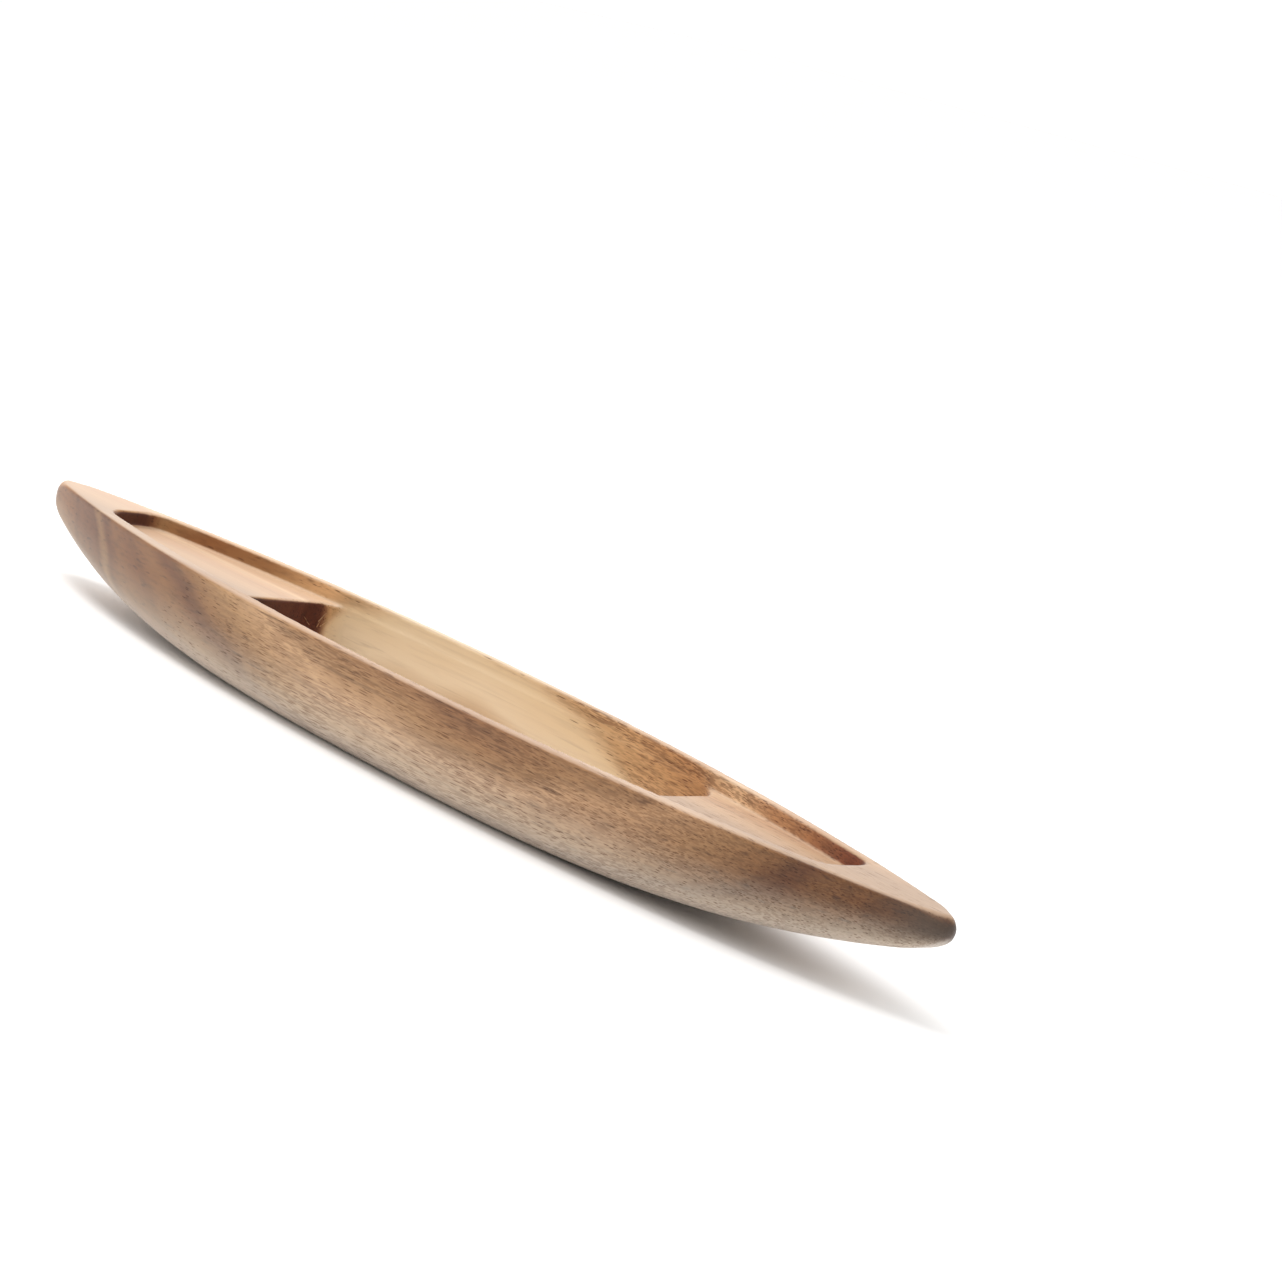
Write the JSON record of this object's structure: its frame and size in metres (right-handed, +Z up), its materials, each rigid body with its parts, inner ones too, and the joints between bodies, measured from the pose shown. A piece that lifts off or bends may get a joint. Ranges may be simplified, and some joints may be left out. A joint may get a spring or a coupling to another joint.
{
  "type": "boat shuttle",
  "caption": "Carved wooden weaving shuttle, pointed at both ends, with a stepped open pocket that holds the weft yarn as it crosses the warp.",
  "frame": {"origin": "on the flat base, under the middle of the body's length and width", "axes": "+X along the body from one tip to the other, +Y across it, +Z up out of the open pocket"},
  "size_m": [0.2, 0.03, 0.0143],
  "materials": {
    "bare_hardwood": "sanded, unfinished"
  },
  "bodies": {
    "root": {"shuttle_body": "bare_hardwood"}
  },
  "joints": []
}
